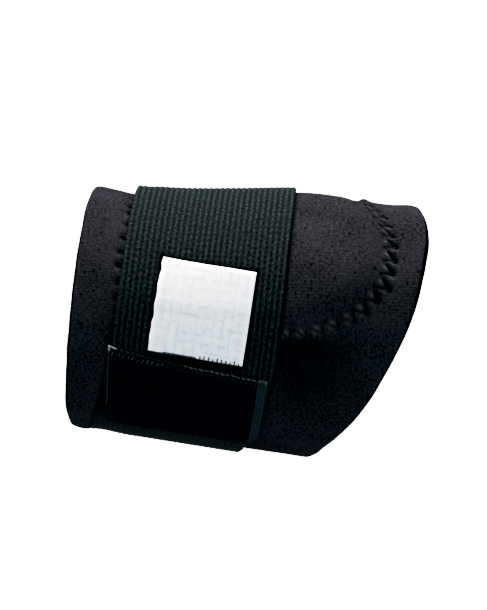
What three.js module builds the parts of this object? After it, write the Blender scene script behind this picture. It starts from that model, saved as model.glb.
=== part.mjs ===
import * as THREE from 'three';

// Elbow support in millimetres, +Z up, in the form it has around a level forearm along X.
// The wrist end is at -X, the elbow end at +X, and the origin lies on the forearm's axis.
// Angles are degrees around that axis: 0 is the near side at -Y, 90 the top,
// 180 the far side at +Y and -90 the underside.

// Driving dimensions
const sleeveWall = 3.2;
const seatGap = 0.3;
const rimRound = 0.7;
const strapWidth = 49;
const strapNecking = { share: 0.06, angle: -90, spread: 32 };
const strapThickness = 1.5;
const strapEndGap = 6;
const tabOverlap = 8;
const tabTapeThickness = 1;
const tabPileHeight = 0.6;
const tabMargin = { wrist: 2.4, elbow: 3.1, top: 2.6, bottom: 1 };
const tabWidth = 47.2;
const tabHeight = 29.5;
const labelThickness = 1;
const nearFaceRadius = 39;

// Outer face of the sleeve before the pad lifts it, a row for each section along the arm.
// A section with lean is fuller above its middle, as a forearm is near the elbow.
const sections = [
  { x: -60, top: 42.6, bottom: -34.2, depth: 34.0, lean: 0 },
  { x: -45, top: 41.2, bottom: -33.1, depth: 34.0, lean: 0 },
  { x: -32, top: 38.3, bottom: -34.9, depth: 34.0, lean: 0 },
  { x: -20, top: 36.5, bottom: -36.8, depth: 34.6, lean: 0 },
  { x: 0, top: 36.3, bottom: -40.0, depth: 36.0, lean: 0.04 },
  { x: 18, top: 36.6, bottom: -42.8, depth: 37.2, lean: 0.1 },
  { x: 36, top: 36.4, bottom: -45.2, depth: 38.0, lean: 0.15 },
  { x: 46, top: 35.1, bottom: -45.9, depth: 38.2, lean: 0.16 },
  { x: 60, top: 35.2, bottom: -46.2, depth: 38.4, lean: 0.16 },
];

// Where the sleeve ends, a row for each angle. The elbow rim is scooped clear of the elbow.
const rims = [
  { angle: -90, wrist: -52.4, elbow: 22.2 },
  { angle: -68, wrist: -53.1, elbow: 25.6 },
  { angle: -55, wrist: -53.1, elbow: 29.9 },
  { angle: -38, wrist: -52.6, elbow: 36.7 },
  { angle: -20, wrist: -51.8, elbow: 43.1 },
  { angle: 10, wrist: -50.0, elbow: 52.0 },
  { angle: 45, wrist: -47.6, elbow: 56.8 },
  { angle: 62, wrist: -46.7, elbow: 56.9 },
  { angle: 76, wrist: -45.6, elbow: 55.8 },
  { angle: 90, wrist: -44.5, elbow: 53.6 },
  { angle: 104, wrist: -44.6, elbow: 55.8 },
  { angle: 118, wrist: -45.0, elbow: 56.9 },
  { angle: 135, wrist: -45.8, elbow: 56.8 },
  { angle: 170, wrist: -47.4, elbow: 52.0 },
  { angle: 200, wrist: -48.8, elbow: 43.1 },
  { angle: 218, wrist: -49.8, elbow: 36.7 },
  { angle: 235, wrist: -50.8, elbow: 29.9 },
  { angle: 248, wrist: -51.5, elbow: 25.6 },
];

// Middle of the strap on its way round the sleeve, a row for each angle.
const strapPath = [
  { angle: -90, x: -23.2 },
  { angle: -60, x: -20.6 },
  { angle: -42, x: -17.3 },
  { angle: -25, x: -14.9 },
  { angle: 0, x: -12.4 },
  { angle: 30, x: -10.0 },
  { angle: 60, x: -8.0 },
  { angle: 90, x: -7.2 },
  { angle: 150, x: -10.0 },
  { angle: 210, x: -20.0 },
];

// Corners of the fastening tab, which hangs straighter than the strap below it: a row for each side edge,
// with the angles of its two ends and where those lie along the arm.
const tabEdges = [
  { across: -0.5, top: -16.2, bottom: -61.5, topX: -39.3, bottomX: -40.8 },
  { across: 0.5, top: -23.0, bottom: -61.5, topX: 8.6, bottomX: 5.2 },
];

// The pad is a rounded patch inside the sleeve, narrower at its top and fuller at its wrist corners.
const pad = {
  x: 2,
  angle: 47,
  wristReach: 36.6,
  elbowReach: 43,
  arc: 102,
  taper: 0.1,
  wristFullness: 9,
  elbowFullness: 2.32,
  rise: 2.4,
  riseShare: 0.3,
  edgeThickness: 1.2,
  innerDome: 0.8,
};

// The label lies on the strap, turned a little; its edges follow slopes of their own.
const label = { x: -11.1, angle: 3.9, width: 28, height: 27.7, sideTilt: 9, topTilt: 6.3, bottomTilt: 3.6 };

// Facets
const around = 64;
const sleeveRows = 22;
const rimRows = 4;
const strapRows = { along: 64, across: 6 };
const padRings = [0.35, 0.58, 0.7, 0.78, 0.86, 0.93, 1];
const padColumns = 40;
const tabRows = { along: 12, across: 10 };
const tabRamp = 0.8;
const tabMarginRows = 4;
const labelRows = { along: 8, across: 6 };

const toRadians = THREE.MathUtils.degToRad;
const lerp = THREE.MathUtils.lerp;

// Smooth curve through one column of a table, which repeats after `period` where that is given.
function read(table, column, at, period = 0) {
  const key = Object.keys(table[0])[0];
  const shifted = (turn) => table.map((row) => ({ at: row[key] + turn * period, value: row[column] }));
  const rows = period ? [...shifted(-1), ...shifted(0), ...shifted(1)] : shifted(0);
  const wanted = THREE.MathUtils.clamp(at, rows[0].at, rows[rows.length - 1].at);
  const first = Math.max(0, rows.findLastIndex((row, index) => row.at <= wanted && index < rows.length - 1));
  const slopeAt = (index) => {
    const before = rows[Math.max(index - 1, 0)];
    const after = rows[Math.min(index + 1, rows.length - 1)];
    return (after.value - before.value) / (after.at - before.at);
  };
  const from = rows[first];
  const to = rows[first + 1];
  const step = to.at - from.at;
  const t = (wanted - from.at) / step;
  const ease = t * t * (3 - 2 * t);
  const leave = t * (1 - t) * (1 - t) * step * slopeAt(first);
  const arrive = t * t * (t - 1) * step * slopeAt(first + 1);
  return lerp(from.value, to.value, ease) + leave + arrive;
}

// Turn from the pad's middle, the short way round.
function turnFromPad(angle) {
  return THREE.MathUtils.euclideanModulo(angle - pad.angle + 180, 360) - 180;
}

// 0 on the pad's outline and outside it, 1 at the pad's middle.
function padShare(x, angle) {
  const upward = turnFromPad(angle) / (pad.arc / 2);
  const reach = x > pad.x ? pad.elbowReach : pad.wristReach;
  const along = (x - pad.x) / (reach * (1 - pad.taper * upward));
  const fullness = x > pad.x ? pad.elbowFullness : pad.wristFullness;
  const distance = Math.abs(along) ** fullness + Math.abs(upward) ** fullness;
  return Math.max(0, 1 - distance ** (1 / fullness));
}

function padRise(share) {
  return pad.rise * THREE.MathUtils.smoothstep(share, 0, pad.riseShare);
}

// A point `lift` outside the sleeve's section at x and angle, measured square to that section.
function liftedPoint(x, angle, lift) {
  const top = read(sections, 'top', x);
  const bottom = read(sections, 'bottom', x);
  const depth = read(sections, 'depth', x);
  const lean = read(sections, 'lean', x);
  const half = (top - bottom) / 2;
  const middle = (top + bottom) / 2;
  const cos = Math.cos(toRadians(angle));
  const sin = Math.sin(toRadians(angle));
  const fuller = 1 + lean * sin;
  const outwards = half * cos;
  const upwards = depth * (sin * fuller - lean * cos * cos);
  const length = Math.hypot(outwards, upwards);
  const y = -(depth * cos * fuller + (lift * outwards) / length);
  const z = middle + half * sin + (lift * upwards) / length;
  return new THREE.Vector3(x, y, z);
}

function onSleeve(x, angle, lift) {
  return liftedPoint(x, angle, lift + padRise(padShare(x, angle)));
}

function meshOf(points, triangles) {
  const geometry = new THREE.BufferGeometry().setFromPoints(points);
  geometry.setIndex(triangles);
  geometry.computeVertexNormals();
  return geometry;
}

function quad(a, b, c, d) {
  return [a, b, c, a, c, d];
}

// A tube wall: closed profiles, one for each angle, joined into a ring.
function ringWall(profileAt) {
  const points = [];
  const triangles = [];
  let profileSize = 0;
  for (let column = 0; column < around; column += 1) {
    const profile = profileAt((360 * column) / around);
    profileSize = profile.length;
    points.push(...profile);
  }
  for (let column = 0; column < around; column += 1) {
    const here = column * profileSize;
    const next = ((column + 1) % around) * profileSize;
    for (let row = 0; row < profileSize; row += 1) {
      const after = (row + 1) % profileSize;
      triangles.push(...quad(here + row, here + after, next + after, next + row));
    }
  }
  return meshOf(points, triangles);
}

// A sheet: an outer and an inner face over the same grid, with a wall around its edge.
// pointAt(across, along, outside) takes shares from 0 to 1, along running down the near side.
function sheet(acrossShares, alongShares, pointAt) {
  const columns = acrossShares.length;
  const rows = alongShares.length;
  const points = [];
  const triangles = [];
  for (const outside of [true, false]) {
    for (const along of alongShares) {
      points.push(...acrossShares.map((across) => pointAt(across, along, outside)));
    }
  }
  const inner = columns * rows;
  const at = (column, row) => row * columns + column;
  for (let row = 0; row < rows - 1; row += 1) {
    for (let column = 0; column < columns - 1; column += 1) {
      const [a, b] = [at(column, row), at(column, row + 1)];
      const [c, d] = [at(column + 1, row + 1), at(column + 1, row)];
      triangles.push(...quad(a, b, c, d), ...quad(inner + d, inner + c, inner + b, inner + a));
    }
  }
  const edge = [];
  for (let row = 0; row < rows - 1; row += 1) edge.push(at(0, row));
  for (let column = 0; column < columns - 1; column += 1) edge.push(at(column, rows - 1));
  for (let row = rows - 1; row > 0; row -= 1) edge.push(at(columns - 1, row));
  for (let column = columns - 1; column > 0; column -= 1) edge.push(at(column, 0));
  edge.forEach((from, index) => {
    const to = edge[(index + 1) % edge.length];
    triangles.push(...quad(from, inner + from, inner + to, to));
  });
  return meshOf(points, triangles);
}

function evenShares(steps) {
  return Array.from({ length: steps + 1 }, (_, index) => index / steps);
}

function sleeveGeometry() {
  const bodyShares = evenShares(sleeveRows);
  const rimShares = evenShares(rimRows).slice(1, -1);
  return ringWall((angle) => {
    const wrist = read(rims, 'wrist', angle, 360);
    const elbow = read(rims, 'elbow', angle, 360);
    const bodyAt = (share, lift) => onSleeve(lerp(wrist + rimRound, elbow - rimRound, share), angle, lift);
    const rimAt = (share, rim, outward) => {
      const turn = Math.PI * share;
      const x = rim + outward * rimRound * (Math.sin(turn) - 1);
      return onSleeve(x, angle, (-sleeveWall * (1 - Math.cos(turn))) / 2);
    };
    return [
      ...bodyShares.map((share) => bodyAt(share, 0)),
      ...rimShares.map((share) => rimAt(share, elbow, 1)),
      ...bodyShares.map((share) => bodyAt(1 - share, -sleeveWall)),
      ...rimShares.map((share) => rimAt(1 - share, wrist, -1)),
    ];
  });
}

function padGeometry() {
  const outerFace = -(sleeveWall + seatGap);
  const ringPoint = (ring, column, outside) => {
    const turn = (2 * Math.PI * column) / padColumns;
    const fullness = Math.cos(turn) > 0 ? pad.elbowFullness : pad.wristFullness;
    const reach = Math.cos(turn) > 0 ? pad.elbowReach : pad.wristReach;
    const size = Math.abs(Math.cos(turn)) ** fullness + Math.abs(Math.sin(turn)) ** fullness;
    const distance = ring / size ** (1 / fullness);
    const upward = distance * Math.sin(turn);
    const x = pad.x + distance * Math.cos(turn) * reach * (1 - pad.taper * upward);
    const innerFace = outerFace - pad.edgeThickness - pad.innerDome * (1 - ring * ring);
    const lift = outside ? outerFace + padRise(1 - ring) : innerFace;
    return liftedPoint(x, pad.angle + (upward * pad.arc) / 2, lift);
  };
  const rings = [
    ...padRings.map((ring) => ({ ring, outside: true })),
    ...padRings.toReversed().map((ring) => ({ ring, outside: false })),
  ];
  const points = [ringPoint(0, 0, true), ringPoint(0, 0, false)];
  for (const { ring, outside } of rings) {
    for (let column = 0; column < padColumns; column += 1) points.push(ringPoint(ring, column, outside));
  }
  const triangles = [];
  const at = (row, column) => 2 + row * padColumns + (column % padColumns);
  const last = rings.length - 1;
  for (let column = 0; column < padColumns; column += 1) {
    triangles.push(0, at(0, column), at(0, column + 1));
    triangles.push(1, at(last, column + 1), at(last, column));
    for (let row = 0; row < last; row += 1) {
      const [a, b] = [at(row, column), at(row + 1, column)];
      const [c, d] = [at(row + 1, column + 1), at(row, column + 1)];
      triangles.push(...quad(a, b, c, d));
    }
  }
  return meshOf(points, triangles);
}

// The strap is drawn in a little where it is pulled tightest, on the underside.
function onStrap(across, angle, lift) {
  const turn = (angle - strapNecking.angle) / strapNecking.spread;
  const width = strapWidth * (1 - strapNecking.share * Math.exp(-turn * turn));
  return onSleeve(read(strapPath, 'x', angle, 360) + across * width, angle, lift);
}

function tabAt(edge, across) {
  const [wristEnd, elbowEnd] = tabEdges;
  return lerp(wristEnd[edge], elbowEnd[edge], across + 0.5);
}

function onTab(across, along, lift) {
  const angle = lerp(tabAt('top', across), tabAt('bottom', across), along);
  return onSleeve(lerp(tabAt('topX', across), tabAt('bottomX', across), along), angle, lift);
}

// The strap starts under the tab, runs down and all the way round, and ends under the tab again.
function strapGeometry() {
  const sweep = 360 - strapEndGap;
  return sheet(evenShares(strapRows.across), evenShares(strapRows.along), (acrossShare, along, outside) => {
    const across = acrossShare - 0.5;
    const start = tabAt('top', across) - tabOverlap - strapEndGap;
    return onStrap(across, start - sweep * along, outside ? seatGap + strapThickness : seatGap);
  });
}

// Shares with a margin at each end, so that the raised pile starts and stops on a row of its own.
function marginShares(steps, size, firstMargin, lastMargin) {
  const inner = [(firstMargin + tabRamp) / size, 1 - (lastMargin + tabRamp) / size];
  const field = evenShares(steps - tabMarginRows).map((share) => lerp(inner[0], inner[1], share));
  return [0, firstMargin / size, ...field, 1 - lastMargin / size, 1];
}

// The tab is a tape sewn over the strap's end, with a raised pile inside its woven margins.
function tabGeometry() {
  const acrossShares = marginShares(tabRows.across, tabWidth, tabMargin.wrist, tabMargin.elbow);
  const alongShares = marginShares(tabRows.along, tabHeight, tabMargin.top, tabMargin.bottom);
  const inField = (shares, share) => share > shares[1] && share < shares[shares.length - 2];
  const underside = 2 * seatGap + strapThickness;
  return sheet(acrossShares, alongShares, (acrossShare, along, outside) => {
    const raised = inField(acrossShares, acrossShare) && inField(alongShares, along);
    const thickness = tabTapeThickness + (raised ? tabPileHeight : 0);
    return onTab(acrossShare - 0.5, along, outside ? underside + thickness : underside);
  });
}

function labelGeometry() {
  const degreesPerMillimetre = THREE.MathUtils.radToDeg(1 / nearFaceRadius);
  const underside = 2 * seatGap + strapThickness;
  const side = toRadians(label.sideTilt);
  return sheet(evenShares(labelRows.across), evenShares(labelRows.along), (acrossShare, along, outside) => {
    const edge = toRadians(lerp(label.topTilt, label.bottomTilt, along));
    const right = (acrossShare - 0.5) * label.width;
    const up = (0.5 - along) * label.height;
    const x = label.x + right * Math.cos(edge) + up * Math.sin(side);
    const rise = up * Math.cos(side) - right * Math.sin(edge);
    const lift = outside ? underside + labelThickness : underside;
    return onSleeve(x, label.angle + rise * degreesPerMillimetre, lift);
  });
}

const neoprene = new THREE.MeshStandardMaterial({ color: 0x2b2b30, roughness: 0.9, metalness: 0 });
const foam = new THREE.MeshStandardMaterial({ color: 0x1b1b1d, roughness: 0.95, metalness: 0 });
const elastic = new THREE.MeshStandardMaterial({ color: 0x1f2a2d, roughness: 0.8, metalness: 0 });
const loopPile = new THREE.MeshStandardMaterial({ color: 0x0b0d0f, roughness: 1, metalness: 0 });
const whiteWeave = new THREE.MeshStandardMaterial({ color: 0xe6e8ec, roughness: 0.7, metalness: 0 });

const elbowSupport = new THREE.Group();
const pieces = [
  { name: 'sleeve', geometry: sleeveGeometry(), material: neoprene },
  { name: 'pressure_pad', geometry: padGeometry(), material: foam },
  { name: 'strap', geometry: strapGeometry(), material: elastic },
  { name: 'fastening_tab', geometry: tabGeometry(), material: loopPile },
  { name: 'woven_label', geometry: labelGeometry(), material: whiteWeave },
];
for (const { name, geometry, material } of pieces) {
  const mesh = new THREE.Mesh(geometry, material);
  mesh.name = name;
  elbowSupport.add(mesh);
}

export default elbowSupport;
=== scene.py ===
import math
from functools import partial
import bpy
import numpy as np
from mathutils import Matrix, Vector, kdtree, noise


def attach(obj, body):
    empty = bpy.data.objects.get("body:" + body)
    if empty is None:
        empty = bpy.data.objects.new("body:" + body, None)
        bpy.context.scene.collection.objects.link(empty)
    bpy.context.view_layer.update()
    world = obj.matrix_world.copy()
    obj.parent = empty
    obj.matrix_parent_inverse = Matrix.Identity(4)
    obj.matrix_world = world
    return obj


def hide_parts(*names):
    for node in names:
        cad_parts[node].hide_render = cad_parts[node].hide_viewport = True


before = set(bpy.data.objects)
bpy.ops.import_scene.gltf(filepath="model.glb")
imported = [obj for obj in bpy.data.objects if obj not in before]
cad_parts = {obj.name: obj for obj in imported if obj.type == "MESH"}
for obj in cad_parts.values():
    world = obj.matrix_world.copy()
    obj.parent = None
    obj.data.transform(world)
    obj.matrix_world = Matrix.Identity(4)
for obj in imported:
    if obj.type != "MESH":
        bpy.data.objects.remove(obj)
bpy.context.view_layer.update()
scene = bpy.context.scene
mm = 0.001  # tables below are in millimetres and degrees, the scene is in metres
print("frame loaded:", ", ".join(sorted(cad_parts)))

# camera, level and square to the near side
shot = {"distance": 0.9, "aimX": 0.0011, "aimZ": 0.0040, "frameHeight": 0.1891, "sensor": 36}


def makeCamera():
    lens = bpy.data.cameras.new("camera")
    lens.sensor_width = shot["sensor"]
    lens.lens = shot["sensor"] * shot["distance"] / shot["frameHeight"]
    camera = bpy.data.objects.new("camera", lens)
    camera.location = (shot["aimX"], -shot["distance"], shot["aimZ"])
    camera.rotation_euler = (math.pi / 2, 0, 0)
    scene.collection.objects.link(camera)
    scene.camera = camera


makeCamera()
print("camera placed")


def tableOf(columns, *rows):
    return [dict(zip(columns.split(), row)) for row in rows]


# the worn form: angles go round the arm, 0 near side, 90 top, 180 far side, -90 underside
sections = tableOf(
    "x top bottom depth lean",
    (-60, 42.6, -34.2, 34.0, 0),
    (-45, 41.2, -33.1, 34.0, 0),
    (-32, 38.3, -34.9, 34.0, 0),
    (-20, 36.5, -36.8, 34.6, 0),
    (0, 36.3, -40.0, 36.0, 0.04),
    (18, 36.6, -42.8, 37.2, 0.1),
    (36, 36.4, -45.2, 38.0, 0.15),
    (46, 35.1, -45.9, 38.2, 0.16),
    (60, 35.2, -46.2, 38.4, 0.16),
)
rims = tableOf(
    "angle wrist elbow",
    (-90, -52.4, 22.2),
    (-68, -53.1, 25.6),
    (-55, -53.1, 29.9),
    (-38, -52.6, 36.7),
    (-20, -51.8, 43.1),
    (10, -50.0, 52.0),
    (45, -47.6, 56.8),
    (62, -46.7, 56.9),
    (76, -45.6, 55.8),
    (90, -44.5, 53.6),
    (104, -44.6, 55.8),
    (118, -45.0, 56.9),
    (135, -45.8, 56.8),
    (170, -47.4, 52.0),
    (200, -48.8, 43.1),
    (218, -49.8, 36.7),
    (235, -50.8, 29.9),
    (248, -51.5, 25.6),
)
strapPath = tableOf(
    "angle x",
    (-90, -23.2),
    (-60, -20.6),
    (-42, -17.3),
    (-25, -14.9),
    (0, -12.4),
    (30, -10.0),
    (60, -8.0),
    (90, -7.2),
    (150, -10.0),
    (210, -20.0),
)
tabEdges = {
    "wrist": {"top": -16.2, "bottom": -61.5, "topX": -39.3, "bottomX": -40.8},
    "elbow": {"top": -23.0, "bottom": -61.5, "topX": 8.6, "bottomX": 5.2},
}
padForm = {
    "x": 2, "angle": 47, "wristReach": 36.6, "elbowReach": 43, "arc": 102, "taper": 0.1,
    "wristFullness": 9, "elbowFullness": 2.32, "rise": 2.4, "riseShare": 0.26, "shoulder": 2.1,
    "lowRise": 4.2, "freeFrom": 13, "freeAt": 24,
}
labelForm = {
    "x": -11.1, "angle": 3.9, "width": 28, "height": 27.7, "sideTilt": 9, "topTilt": 6.3, "bottomTilt": 3.6,
}
seatGap = 0.3
nearFaceRadius = 39
mmPerDegree = math.radians(1) * nearFaceRadius


def along(table, column, at, period=0):  # smooth curve through one column of a table
    key = next(iter(table[0]))
    turns = (-1, 0, 1) if period else (0,)
    knots = np.array([row[key] + turn * period for turn in turns for row in table], float)
    values = np.array([row[column] for turn in turns for row in table], float)
    slopes = np.gradient(values, knots)
    slopes[1:-1] = (values[2:] - values[:-2]) / (knots[2:] - knots[:-2])
    at = np.clip(np.asarray(at, float), knots[0], knots[-1])
    first = np.clip(np.searchsorted(knots, at, side="right") - 1, 0, len(knots) - 2)
    step = knots[first + 1] - knots[first]
    t = (at - knots[first]) / step
    ease = t * t * (3 - 2 * t)
    bends = t * (1 - t) ** 2 * slopes[first] + t * t * (t - 1) * slopes[first + 1]
    return values[first] * (1 - ease) + values[first + 1] * ease + step * bends


def smoothStep(value, low, high):
    t = np.clip((value - low) / (high - low), 0, 1)
    return t * t * (3 - 2 * t)


def padUpward(angle):  # 1 at the pad's upper edge, -1 at its lower edge
    return ((angle - padForm["angle"] + 180) % 360 - 180) / (padForm["arc"] / 2)


def padShare(x, angle):  # 1 in the pad's middle, 0 on its outline, below 0 outside
    upward = padUpward(angle)
    elbowSide = x > padForm["x"]
    reach = np.where(elbowSide, padForm["elbowReach"], padForm["wristReach"])
    fullness = np.where(elbowSide, padForm["elbowFullness"], padForm["wristFullness"])
    sideways = (x - padForm["x"]) / (reach * (1 - padForm["taper"] * upward))
    return 1 - (np.abs(sideways) ** fullness + np.abs(upward) ** fullness) ** (1 / fullness)


def padRise(share, x, upward):  # full in the middle, rolling steeply down to the seam
    rolled = 1 - np.clip(share / padForm["riseShare"], 0, 1)
    clear = smoothStep(x, padForm["freeFrom"], padForm["freeAt"])  # of the strap
    free = smoothStep(-upward, 0, 0.6) * clear
    rise = padForm["rise"] + (padForm["lowRise"] - padForm["rise"]) * free
    return rise * (1 - rolled ** padForm["shoulder"])


def lifted(x, angle, lift):  # points this far outside the plain section, in metres
    x, angle, lift = np.broadcast_arrays(np.asarray(x, float), angle, lift)
    top, bottom, depth, lean = (along(sections, column, x) for column in ("top", "bottom", "depth", "lean"))
    half, middle = (top - bottom) / 2, (top + bottom) / 2
    cos, sin = np.cos(np.radians(angle)), np.sin(np.radians(angle))
    fuller = 1 + lean * sin  # fuller above the middle
    outwards, upwards = half * cos, depth * (sin * fuller - lean * cos * cos)
    length = np.hypot(outwards, upwards)
    y = -(depth * cos * fuller + lift * outwards / length)
    z = middle + half * sin + lift * upwards / length
    return np.stack([x, y, z], axis=-1) * mm


def onSleeve(x, angle, lift):
    return lifted(x, angle, lift + padRise(padShare(x, angle), x, padUpward(angle)))


def overPad(x, angle, lift):  # a stretched band bridges the step at the pad's edge
    share = padShare(x, angle)
    bridged = padForm["rise"] * smoothStep(share, -0.5, 0.5)
    return lifted(x, angle, lift + np.maximum(bridged, padRise(share, x, padUpward(angle)) - 0.1))


def wobble(points, size, seed):  # slow unevenness from -1 to 1, the same on every run
    shift = Vector((seed * 17.3, seed * 5.1, seed * 9.7))
    flat = points.reshape(-1, 3)
    values = [noise.noise(Vector(p) / (size * mm) + shift) for p in flat]
    return np.array(values).reshape(points.shape[:-1])


# mesh making
def makeObject(name, points, faces, materials, slots=None, uv=None, attributes=None):
    mesh = bpy.data.meshes.new(name)
    mesh.from_pydata(points, [], faces)
    for material in materials:
        mesh.materials.append(material)
    if slots is not None:
        mesh.polygons.foreach_set("material_index", slots)
    if uv is not None:
        mesh.uv_layers.new(name="clothMap").data.foreach_set("uv", uv.ravel())
    for key, values in (attributes or {}).items():
        mesh.attributes.new(key, "FLOAT", "POINT").data.foreach_set("value", values.ravel())
    mesh.polygons.foreach_set("use_smooth", [True] * len(mesh.polygons))
    mesh.update()
    made = bpy.data.objects.new(name, mesh)
    scene.collection.objects.link(made)
    return made


def facesInward(points, quads):  # sign of the volume between the faces and the origin
    a, b, c = (points[quads[:, k]] for k in range(3))
    d = points[quads[:, 3]]
    return np.sum(np.cross(b - a, c - a) * a) + np.sum(np.cross(c - a, d - a) * a) < 0


def gridFaces(rows, columns, closeRows):  # quads over rows of closed loops, with the corners' grid places
    row, column = np.meshgrid(np.arange(rows if closeRows else rows - 1), np.arange(columns), indexing="ij")
    row, column = row.ravel(), column.ravel()
    corners = np.stack([
        np.stack([row, column], -1), np.stack([row + 1, column], -1),
        np.stack([row + 1, column + 1], -1), np.stack([row, column + 1], -1),
    ], axis=1)
    quads = (corners[..., 0] % rows) * columns + corners[..., 1] % columns
    return quads, corners


def loopSheet(name, grid, uvGrid, materials, slotOf=None, closeRows=False, attributes=None):
    # grid[row, place] holds closed loops; uvGrid has one more place, and one more row if rows close
    rows, columns = grid.shape[:2]
    points = grid.reshape(-1, 3)
    quads, corners = gridFaces(rows, columns, closeRows)
    uv = uvGrid[corners[..., 0], corners[..., 1]]
    slots = [0] * len(quads) if slotOf is None else slotOf(corners[:, 0, 0], corners[:, 0, 1]).tolist()
    flipped = facesInward(points, quads)
    if flipped:
        quads, uv = quads[:, ::-1], uv[:, ::-1]
    faces = quads.tolist()
    uvRows = [uv.reshape(-1, 2)]
    if not closeRows:
        for row in (0, rows - 1):
            cap = list(range(row * columns, (row + 1) * columns))
            capUv = uvGrid[row, :columns]
            if (row == 0) == flipped:
                cap, capUv = cap[::-1], capUv[::-1]
            faces.append(cap)
            slots.append(slots[row * columns - columns if row else 0])
            uvRows.append(capUv)
    return makeObject(name, points.tolist(), faces, materials, slots, np.concatenate(uvRows), attributes)


def threadTubes(name, paths, radius, material, shades=None, sides=7):  # many stitches joined in one mesh
    points, faces, uv, shade = [], [], [], []
    ring = np.linspace(0, 2 * math.pi, sides, endpoint=False)
    for stitch, path in enumerate(paths):
        first = len(points)
        shade.extend([shades[stitch] if shades else 0.5] * (len(path) * sides))
        tangent = np.gradient(path, axis=0)
        tangent /= np.linalg.norm(tangent, axis=1, keepdims=True)
        outward = path * np.array([0, 1, 1])
        sideways = np.cross(tangent, outward)
        sideways /= np.linalg.norm(sideways, axis=1, keepdims=True)
        upward = np.cross(sideways, tangent)
        run = np.concatenate([[0], np.cumsum(np.linalg.norm(np.diff(path, axis=0), axis=1))]) / mm
        for place in range(len(path)):
            offsets = np.outer(np.cos(ring), sideways[place]) + np.outer(np.sin(ring), upward[place])
            points.extend((path[place] + offsets * radius * mm).tolist())
        for place in range(len(path) - 1):
            for k in range(sides):
                here, after = first + place * sides, first + (place + 1) * sides
                faces.append([here + k, here + (k + 1) % sides, after + (k + 1) % sides, after + k])
                low, high = run[place], run[place + 1]
                uv.extend([(k, low), (k + 1, low), (k + 1, high), (k, high)])
        last = len(points) - sides
        faces.append(list(range(first, first + sides))[::-1])
        faces.append(list(range(last, last + sides)))
        uv.extend([(0, 0)] * 2 * sides)
    attributes = {"shade": np.array(shade)}
    return makeObject(name, points, faces, [material], uv=np.array(uv, float), attributes=attributes)


# materials
inColour = {"data_type": "RGBA", "out": 2}  # settings of a mix of two colours


def hexColour(code):  # sRGB hex to linear
    channels = [int(code[k:k + 2], 16) / 255 for k in (1, 3, 5)]
    return (*(c / 12.92 if c <= 0.04045 else ((c + 0.055) / 1.055) ** 2.4 for c in channels), 1)


def addNode(tree, kind, inputs=None, out=0, **settings):  # inputs take a socket, a value or a hex colour
    made = tree.nodes.new("ShaderNode" + kind)
    for key, value in settings.items():
        setattr(made, key, value)
    for key, value in (inputs or {}).items():
        if isinstance(value, bpy.types.NodeSocket):
            tree.links.new(value, made.inputs[key])
        else:
            made.inputs[key].default_value = hexColour(value) if isinstance(value, str) else value
    return made.outputs if out is None else made.outputs[out]


def newMaterial(name, **sockets):
    material = bpy.data.materials.new(name)
    material.use_nodes = True
    shader = material.node_tree.nodes["Principled BSDF"]
    for key, value in sockets.items():
        shader.inputs[key.replace("_", " ")].default_value = value
    return material, shader


def newCloth(name, **sockets):  # with what adds its nodes, and its map in millimetres
    material = newMaterial(name, **sockets)[0]
    node = partial(addNode, material.node_tree)
    return material, node, node("UVMap", uv_map="clothMap")


def finishCloth(material, colour, height, strength, relief, invert=False):
    # colour and fine relief go to the shader
    tree = material.node_tree
    shader = tree.nodes["Principled BSDF"]
    depth = {"Height": height, "Strength": strength, "Distance": relief * mm}
    tree.links.new(colour, shader.inputs["Base Color"])
    tree.links.new(addNode(tree, "Bump", depth, invert=invert), shader.inputs["Normal"])
    return material


# one of these colours is painted shade, another a painted highlight on the seam's puffs
jerseyLook = {
    "dark": "#070708", "light": "#313135", "puffLit": "#4a494c", "shadeTone": "#020202", "lint": "#6f6e6e",
    "speckle": 0.9, "cloud": 14, "wale": 0.95, "course": 1.25, "lintSpacing": 11, "pitSpacing": 6.5,
    "relief": 0.16,
}


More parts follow.
